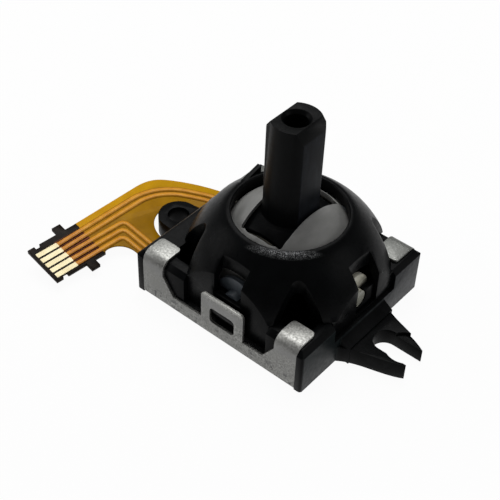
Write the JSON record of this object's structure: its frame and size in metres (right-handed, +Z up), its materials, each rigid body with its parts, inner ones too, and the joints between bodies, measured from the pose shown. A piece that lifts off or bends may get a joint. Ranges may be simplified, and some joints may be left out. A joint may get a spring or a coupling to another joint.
{
  "type": "controller analog stick",
  "caption": "Clickable two-axis analog stick module: black double-D stick in a domed cover, latched steel bracket, slotted screw ears and a bent flex tail.",
  "frame": {"origin": "on the stick's axis at the underside of the steel floor plate", "axes": "+Z up along the stick at rest, +X towards the forked ear, -Y towards the latched front wall and the end of the tail"},
  "size_m": [0.0248, 0.016, 0.0139],
  "materials": {
    "black_plastic": "satin",
    "grey_plastic": "satin",
    "cream_plastic": "satin",
    "steel": "satin",
    "spring_steel": "bright",
    "film": "gloss",
    "stiffener": "satin",
    "copper": "satin",
    "gold": "bright",
    "carbon": "matt"
  },
  "bodies": {
    "base": {"base_frame": "black_plastic", "bottom_bracket": "steel", "dome_cover": "black_plastic", "flex_circuit": "film", "tail_stiffener": "stiffener", "copper_traces": "copper", "contact_pads": "gold", "carbon_tracks": "carbon", "switch_contacts": "gold", "snap_dome": "spring_steel"},
    "lower_rocker": {"lower_rocker": "cream_plastic"},
    "pivot": {"pivot_block": "grey_plastic", "spring_washer": "steel", "return_spring": "spring_steel"},
    "stick": {"stick_shaft": "black_plastic"},
    "foot": {"centring_foot": "black_plastic"},
    "upper_rocker": {"upper_rocker": "grey_plastic"},
    "x_slider": {"x_slider": "black_plastic", "x_wiper": "spring_steel"},
    "y_slider": {"y_slider": "black_plastic", "y_wiper": "spring_steel"}
  },
  "joints": [
    {"name": "lower_tilt", "type": "hinge", "parent": "base", "child": "lower_rocker", "pos_m": [0, 0, 0.0029], "axis": [1, 0, 0], "range_deg": [-16.5, 16.5], "stiffness_Nm_per_rad": 0.004},
    {"name": "stick_tilt", "type": "hinge", "parent": "lower_rocker", "child": "pivot", "pos_m": [0, 0, 0.0029], "axis": [0, 1, 0], "range_deg": [-16.5, 16.5], "stiffness_Nm_per_rad": 0.004},
    {"name": "click", "type": "slide", "parent": "pivot", "child": "stick", "axis": [0, 0, -1], "range_m": [0, 0.00025], "stiffness_N_per_m": 200, "springref_m": -0.0002},
    {"name": "foot_slide", "type": "slide", "parent": "pivot", "child": "foot", "axis": [0, 0, 1], "range_m": [0, 0.0003], "stiffness_N_per_m": 100, "springref_m": -0.0002, "deforming": ["return_spring"]},
    {"name": "upper_tilt", "type": "hinge", "parent": "base", "child": "upper_rocker", "pos_m": [0, 0, 0.0029], "axis": [0, 1, 0], "range_deg": [-16.5, 16.5]},
    {"name": "x_slide", "type": "slide", "parent": "base", "child": "x_slider", "axis": [1, 0, 0], "range_m": [-0.00047, 0.00047]},
    {"name": "y_slide", "type": "slide", "parent": "base", "child": "y_slider", "axis": [0, 1, 0], "range_m": [-0.00047, 0.00047]}
  ],
  "couplings": [
    {"joint": "upper_tilt", "follows": "stick_tilt", "ratio": 1},
    {"joint": "x_slide", "follows": "stick_tilt", "m_per_rad": -0.0016},
    {"joint": "y_slide", "follows": "lower_tilt", "m_per_rad": 0.0016}
  ]
}
